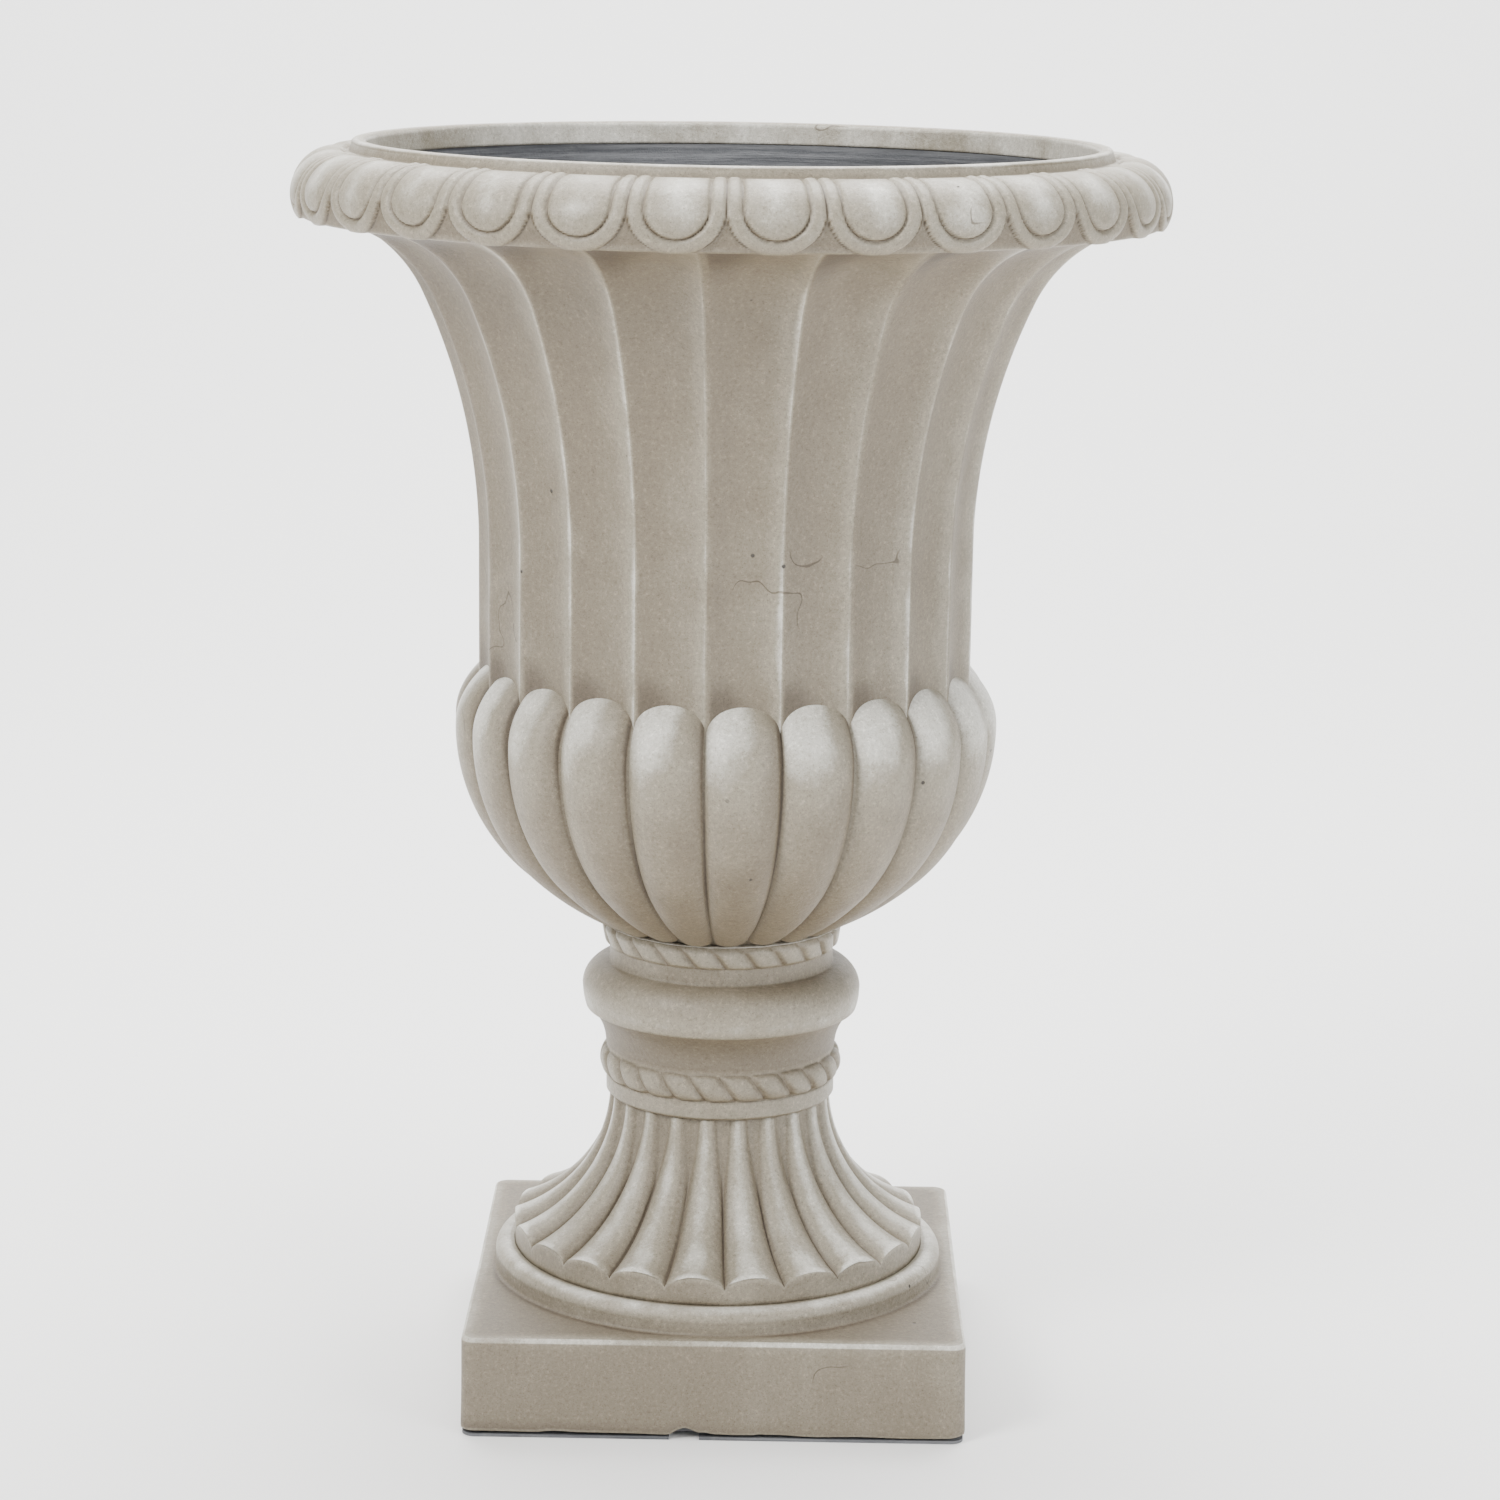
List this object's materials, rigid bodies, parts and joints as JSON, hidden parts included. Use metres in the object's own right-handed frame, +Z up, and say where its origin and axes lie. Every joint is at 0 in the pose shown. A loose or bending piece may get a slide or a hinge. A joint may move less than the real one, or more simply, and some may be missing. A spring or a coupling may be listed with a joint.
{
  "type": "urn planter",
  "caption": "Tall cast-stone garden urn: fluted bell on a gadrooned bowl, egg-moulded rim, turned stem, reeded foot and hollow square plinth, with a lift-out drain plug.",
  "frame": {"origin": "on the ground, under the middle of the square plinth", "axes": "+Z up the urn's axis; -Y is the side with the drain notch, +X to its right; the drain plug lies towards +X"},
  "size_m": [0.5272, 0.5248, 0.762],
  "materials": {
    "ivory_stone": "matte, aged",
    "raw_backing": "rough",
    "mortar": "rough",
    "steel": "zinc plated",
    "rubber": "matte"
  },
  "bodies": {
    "root": {"bowl_face": "ivory_stone", "bowl_backing": "raw_backing", "bowl_screed": "raw_backing", "bowl_bed": "mortar", "stem": "ivory_stone", "stem_bed": "mortar", "foot": "ivory_stone", "foot_bed": "mortar", "plinth_face": "ivory_stone", "plinth_backing": "raw_backing", "tie_rod": "steel", "upper_nut": "steel", "upper_washer": "steel", "sealing_washer": "rubber", "clamp_bar": "steel", "lower_washer": "steel", "lower_nut": "steel"},
    "drain_plug": {"drain_plug": "rubber"}
  },
  "joints": [
    {"name": "drain_plug_lift", "type": "slide", "parent": "root", "child": "drain_plug", "axis": [0, 0, 1], "range_m": [0, 0.49]}
  ]
}
